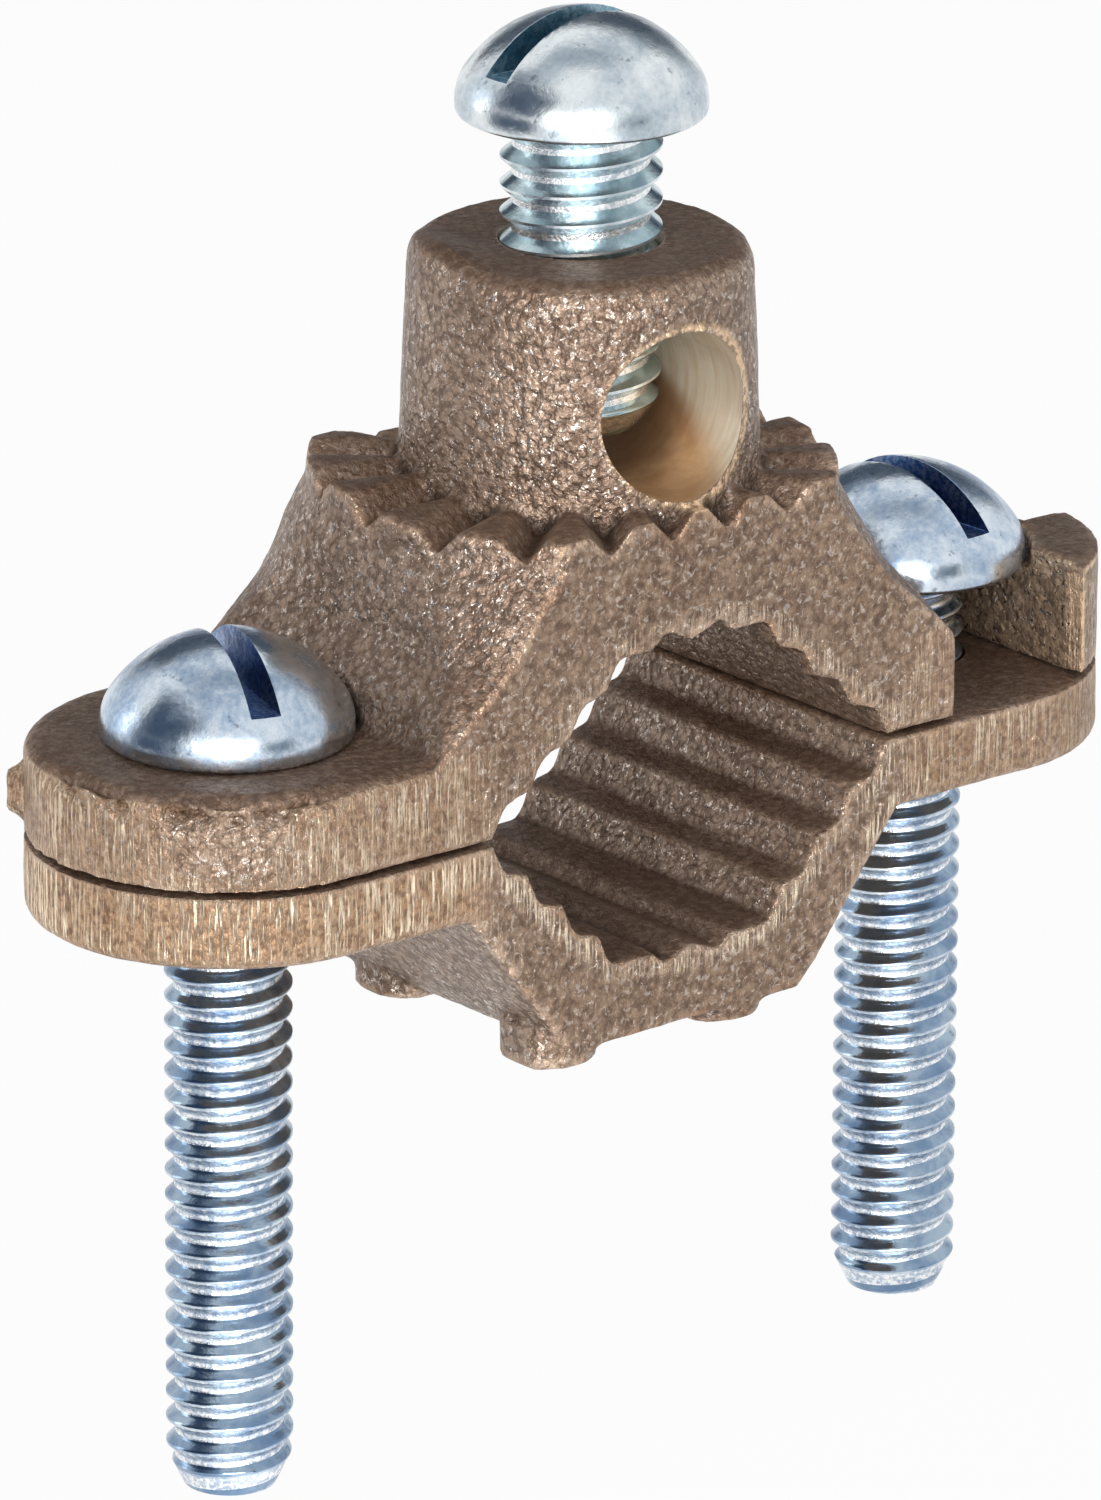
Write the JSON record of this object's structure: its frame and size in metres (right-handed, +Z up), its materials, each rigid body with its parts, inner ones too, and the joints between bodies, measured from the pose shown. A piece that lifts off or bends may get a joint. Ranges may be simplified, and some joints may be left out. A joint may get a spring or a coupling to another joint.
{
  "type": "pipe grounding clamp",
  "caption": "Cast bronze pipe grounding clamp: serrated castings drawn together by slotted clamp screws, with a drilled lug whose set screw pinches the ground wire.",
  "frame": {"origin": "the pipe's axis midway between the clamp screws, at the split between the two castings", "axes": "+X along the ears towards the open slot, +Y along the pipe away from the slot's mouth, +Z up along the screws"},
  "size_m": [0.062, 0.0196, 0.0699],
  "materials": {
    "bronze": "rough sand-cast bronze, brown, bright on sheared edges",
    "zinc": "bright zinc plate with a blue tint"
  },
  "bodies": {
    "hub": {"hub_casting": "bronze"},
    "jaw": {"lower_jaw": "bronze"},
    "left_screw": {"left_clamp_screw": "zinc"},
    "right_screw": {"right_clamp_screw": "zinc"},
    "set_screw": {"wire_screw": "zinc"}
  },
  "joints": [
    {"name": "jaw_slide", "type": "slide", "parent": "hub", "child": "jaw", "axis": [0, 0, -1], "range_m": [0, 0.0254]},
    {"name": "left_screw_turn", "type": "hinge", "parent": "hub", "child": "left_screw", "pos_m": [-0.0212, 0, 0], "axis": [0, 0, 1], "range_deg": [0, 7200]},
    {"name": "right_screw_turn", "type": "hinge", "parent": "hub", "child": "right_screw", "pos_m": [0.0212, 0, 0], "axis": [0, 0, 1], "range_deg": [0, 7200]},
    {"name": "wire_screw_slide", "type": "slide", "parent": "hub", "child": "set_screw", "axis": [0, 0, 1], "range_m": [-0.0002, 0.0068]}
  ],
  "couplings": [
    {"joint": "left_screw_turn", "follows": "jaw_slide", "rad_per_m": 4947.4},
    {"joint": "right_screw_turn", "follows": "jaw_slide", "rad_per_m": 4947.4}
  ]
}
